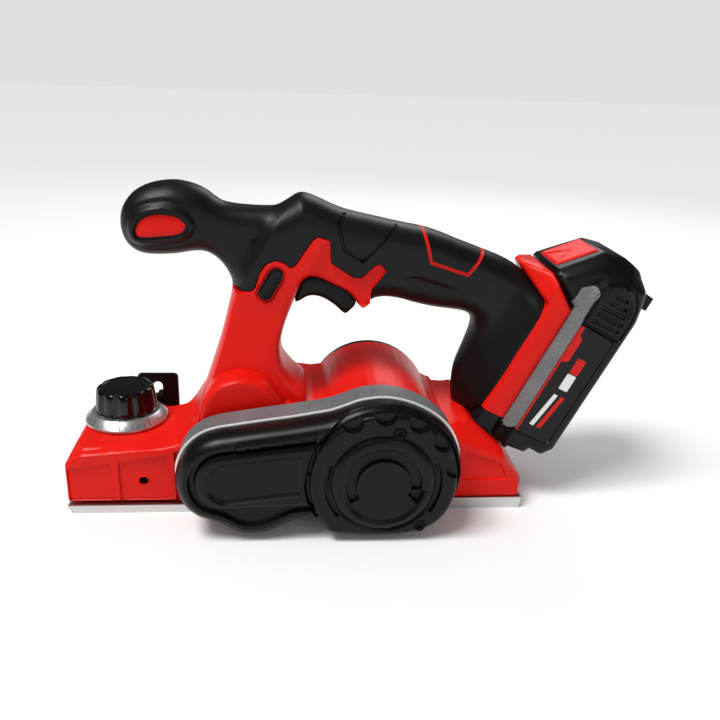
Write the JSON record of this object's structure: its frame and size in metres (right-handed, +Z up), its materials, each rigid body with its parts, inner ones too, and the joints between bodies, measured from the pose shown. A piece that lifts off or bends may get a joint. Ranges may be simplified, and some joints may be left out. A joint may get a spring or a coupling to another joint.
{
  "type": "electric hand planer",
  "caption": "Battery hand planer: belt-driven cutter drum, height-adjustable front shoe with depth knob, closed rear handle with trigger, slide-on battery.",
  "frame": {"origin": "on the running face of the rear sole, half way along the 280 mm sole and on its centre line", "axes": "+X to the tail (battery end), +Y to the chip side, away from the belt cover, +Z up, square to the sole"},
  "size_m": [0.3558, 0.1464, 0.195],
  "materials": {
    "red_shell": "satin",
    "soft_black": "matte",
    "hard_black": "satin",
    "sole_alloy": "machined",
    "scale_silver": "satin",
    "steel": "brushed",
    "drum_alloy": "satin",
    "knife_steel": "ground",
    "silver_band": "speckled",
    "screw_black": "blackened",
    "belt_rubber": "matte",
    "brass": "satin",
    "stop_black": "gloss",
    "board_green": "satin",
    "pack_grey": "speckled",
    "cell_wrap": "satin",
    "label_black": "gloss"
  },
  "bodies": {
    "housing": {"base_housing": "red_shell", "pillar_left": "red_shell", "pillar_right": "red_shell", "foot_left": "red_shell", "foot_right": "red_shell", "horn_insets": "red_shell", "grip_left": "soft_black", "grip_right": "soft_black", "rear_sole": "sole_alloy", "depth_pointer": "red_shell", "drum_bearings": "steel", "belt_base": "silver_band", "belt_cover": "hard_black", "pulley_cover": "hard_black", "cover_screws": "screw_black", "drive_belt": "belt_rubber", "motor_can": "steel", "motor_bearings": "steel", "brushes": "brass", "motor_cover": "hard_black", "bearing_cap": "hard_black", "chip_spigot": "hard_black", "fence_insert": "brass", "stop_insert": "brass", "handle_screws": "screw_black", "switch_box": "hard_black", "control_board": "board_green", "pack_stop": "hard_black", "terminal_block": "hard_black", "terminal_blades": "brass"},
    "shoe": {"front_shoe": "sole_alloy"},
    "knob": {"depth_knob": "hard_black", "scale_ring": "scale_silver", "depth_spindle": "steel"},
    "cutter": {"drum": "drum_alloy", "knives": "knife_steel", "knife_clamps": "steel", "knife_screws": "steel", "drum_pulley": "drum_alloy"},
    "rotor": {"rotor_shaft": "steel", "rotor_core": "steel", "fan": "hard_black", "motor_pulley": "drum_alloy"},
    "trigger": {"trigger": "hard_black"},
    "lock": {"lock_button": "hard_black"},
    "stop": {"depth_stop": "stop_black"},
    "stop_clamp": {"stop_knob": "hard_black"},
    "pack": {"pack_lid": "pack_grey", "pack_case": "hard_black", "pack_cells": "cell_wrap", "pack_board": "board_green", "pack_tab": "hard_black", "pack_pads": "hard_black", "pack_labels": "label_black"},
    "release": {"release_button": "red_shell"}
  },
  "joints": [
    {"name": "drum_spin", "type": "hinge", "parent": "housing", "child": "cutter", "pos_m": [-0.037, 0, 0.0245], "axis": [0, 1, 0], "continuous": true},
    {"name": "rotor_spin", "type": "hinge", "parent": "housing", "child": "rotor", "pos_m": [0.048, 0, 0.039], "axis": [0, 1, 0], "continuous": true},
    {"name": "depth_turn", "type": "hinge", "parent": "housing", "child": "knob", "pos_m": [-0.1106, 0, 0.05], "axis": [0, 0, 1], "range_deg": [0, 330]},
    {"name": "shoe_lift", "type": "slide", "parent": "housing", "child": "shoe", "axis": [0, 0, 1], "range_m": [0, 0.002]},
    {"name": "trigger_pull", "type": "hinge", "parent": "housing", "child": "trigger", "pos_m": [-0.001, 0, 0.136], "axis": [0, -1, 0], "range_deg": [0, 8], "stiffness_Nm_per_rad": 0.6, "springref_deg": -14.32},
    {"name": "lock_press", "type": "slide", "parent": "housing", "child": "lock", "axis": [0, 1, 0], "range_m": [0, 0.004], "stiffness_N_per_m": 300, "springref_m": -0.004},
    {"name": "stop_slide", "type": "slide", "parent": "housing", "child": "stop", "axis": [0, 0, 1], "range_m": [-0.0035, 0.009]},
    {"name": "stop_clamp_turn", "type": "hinge", "parent": "housing", "child": "stop_clamp", "pos_m": [-0.0983, 0.05, 0.026], "axis": [0, 1, 0], "range_deg": [0, 270]},
    {"name": "pack_slide", "type": "slide", "parent": "housing", "child": "pack", "axis": [0.4337, 0, 0.9011], "range_m": [0, 0.11]},
    {"name": "release_press", "type": "slide", "parent": "pack", "child": "release", "axis": [0.3305, 0, -0.9438], "range_m": [0, 0.003], "stiffness_N_per_m": 400, "springref_m": -0.003}
  ],
  "couplings": [
    {"joint": "rotor_spin", "follows": "drum_spin", "ratio": 1.1667},
    {"joint": "depth_turn", "follows": "shoe_lift", "rad_per_m": 2879.5}
  ]
}
